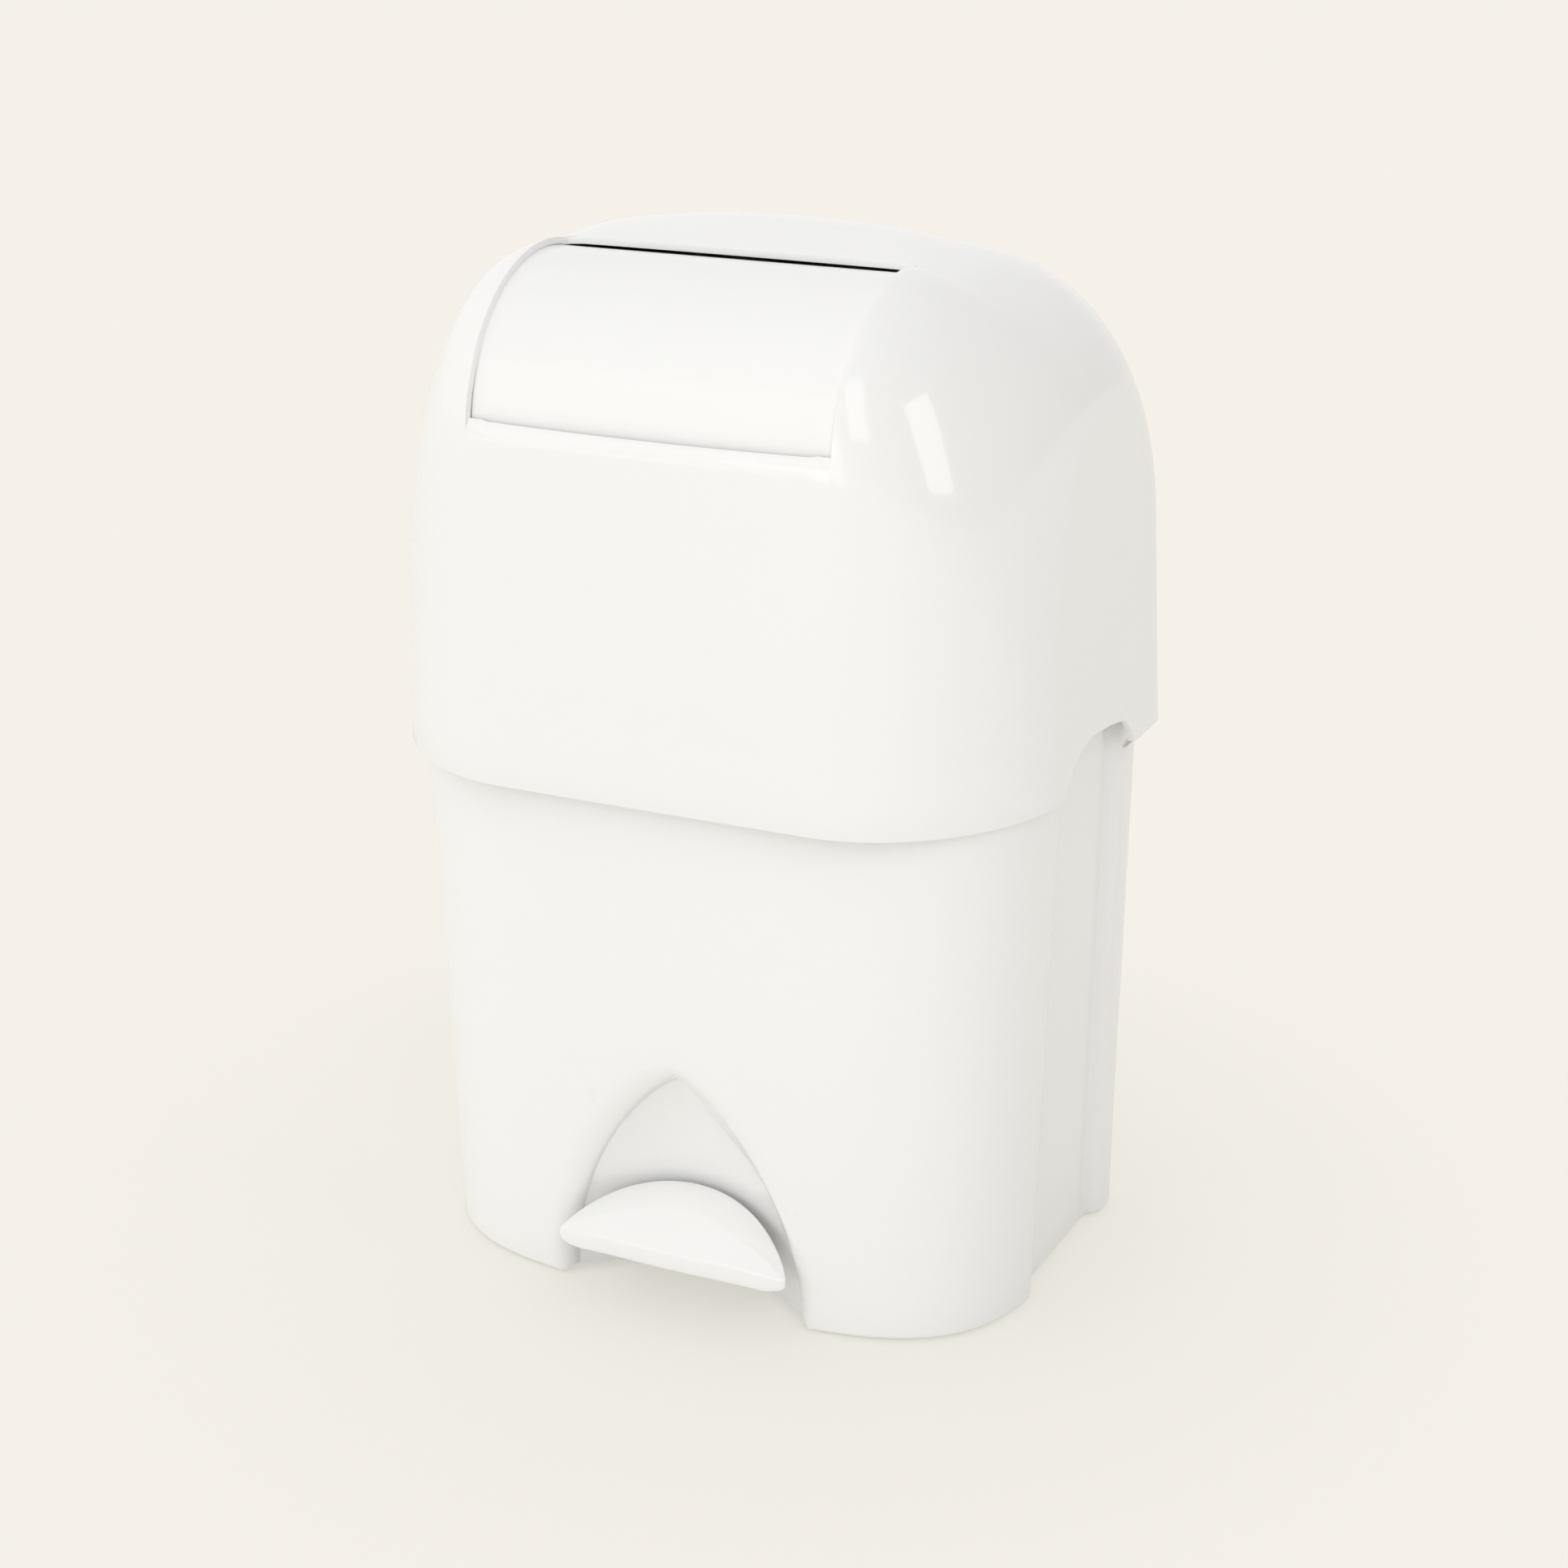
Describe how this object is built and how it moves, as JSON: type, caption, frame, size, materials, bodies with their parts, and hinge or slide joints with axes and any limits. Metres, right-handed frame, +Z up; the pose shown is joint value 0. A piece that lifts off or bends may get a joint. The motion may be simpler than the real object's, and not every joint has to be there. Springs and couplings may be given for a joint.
{
  "type": "pedal nappy bin",
  "caption": "White pedal nappy bin whose hinged hood holds a revolving drum lid, turned by a foot pedal through a push rod, rack and gears.",
  "frame": {"origin": "on the floor, in the middle of the footprint", "axes": "+Z up, the front with the pedal and the drum faces -Y, the right side is +X"},
  "size_m": [0.304, 0.2206, 0.4565],
  "materials": {
    "white_plastic": "glossy white moulded plastic",
    "inner_plastic": "satin light grey moulded plastic",
    "gear_plastic": "matt grey gear plastic",
    "bright_steel": "zinc plated steel",
    "rubber": "matt black rubber"
  },
  "bodies": {
    "bin": {"bin_body": "white_plastic", "rubber_foot_front_left": "rubber", "rubber_foot_front_right": "rubber", "rubber_foot_back_left": "rubber", "rubber_foot_back_right": "rubber", "pedal_axle": "bright_steel", "axle_saddle_left": "inner_plastic", "axle_saddle_right": "inner_plastic", "saddle_screw_left": "bright_steel", "saddle_screw_right": "bright_steel", "rod_bush": "inner_plastic", "rod_guide": "inner_plastic", "rod_guide_screw_front": "bright_steel", "rod_guide_screw_back": "bright_steel", "rod_cover": "inner_plastic", "bag_ring": "inner_plastic", "hinge_pin_left": "bright_steel", "hinge_pin_right": "bright_steel"},
    "hood": {"hood": "white_plastic", "cradle": "inner_plastic", "cradle_screw_front_left": "bright_steel", "cradle_screw_front_right": "bright_steel", "cradle_screw_side_left": "bright_steel", "cradle_screw_side_right": "bright_steel", "drum_bearing_left": "gear_plastic", "drum_bearing_right": "gear_plastic", "idler_pin": "bright_steel", "rack_guide": "gear_plastic", "rack_guide_screw_front": "bright_steel", "rack_guide_screw_back": "bright_steel"},
    "pedal": {"pedal": "white_plastic", "pedal_lever": "inner_plastic", "pad_screw_left": "bright_steel", "pad_screw_right": "bright_steel"},
    "rod": {"push_rod": "bright_steel", "rod_cap": "inner_plastic", "rod_collar": "inner_plastic", "return_spring": "bright_steel"},
    "rack": {"rack": "gear_plastic"},
    "idler": {"idler_gear": "gear_plastic"},
    "drum": {"drum_flap": "white_plastic", "drum_scoop": "white_plastic", "drum_disc_left": "white_plastic", "drum_disc_right": "white_plastic", "drum_axle_left": "inner_plastic", "drum_axle_right": "inner_plastic", "drum_gear": "gear_plastic", "flap_lower_screw_left": "bright_steel", "flap_lower_screw_right": "bright_steel", "flap_upper_screw_left": "bright_steel", "flap_upper_screw_right": "bright_steel", "scoop_back_screw_left": "bright_steel", "scoop_back_screw_right": "bright_steel", "scoop_front_screw_left": "bright_steel", "scoop_front_screw_right": "bright_steel"}
  },
  "joints": [
    {"name": "hood_hinge", "type": "hinge", "parent": "bin", "child": "hood", "pos_m": [0, 0.105, 0.231], "axis": [-1, 0, 0], "range_deg": [0, 85]},
    {"name": "drum_turn", "type": "hinge", "parent": "hood", "child": "drum", "pos_m": [0, -0.0397, 0.3819], "axis": [-1, 0, 0], "range_deg": [0, 105]},
    {"name": "idler_turn", "type": "hinge", "parent": "hood", "child": "idler", "pos_m": [0, -0.0157, 0.3819], "axis": [1, 0, 0], "range_deg": [0, 63.1]},
    {"name": "rack_lift", "type": "slide", "parent": "hood", "child": "rack", "axis": [0, 0, 1], "range_m": [0, 0.0166]},
    {"name": "rod_lift", "type": "slide", "parent": "bin", "child": "rod", "axis": [0, 0, 1], "range_m": [0, 0.0166], "stiffness_N_per_m": 400, "springref_m": -0.012, "deforming": ["return_spring"]},
    {"name": "pedal_press", "type": "hinge", "parent": "bin", "child": "pedal", "pos_m": [0, -0.044, 0.024], "axis": [1, 0, 0], "range_deg": [0, 19]}
  ],
  "couplings": [
    {"joint": "idler_turn", "follows": "drum_turn", "ratio": 0.6},
    {"joint": "rack_lift", "follows": "drum_turn", "m_per_rad": 0.009},
    {"joint": "rod_lift", "follows": "drum_turn", "m_per_rad": 0.009},
    {"joint": "pedal_press", "follows": "drum_turn", "ratio": 0.18}
  ]
}
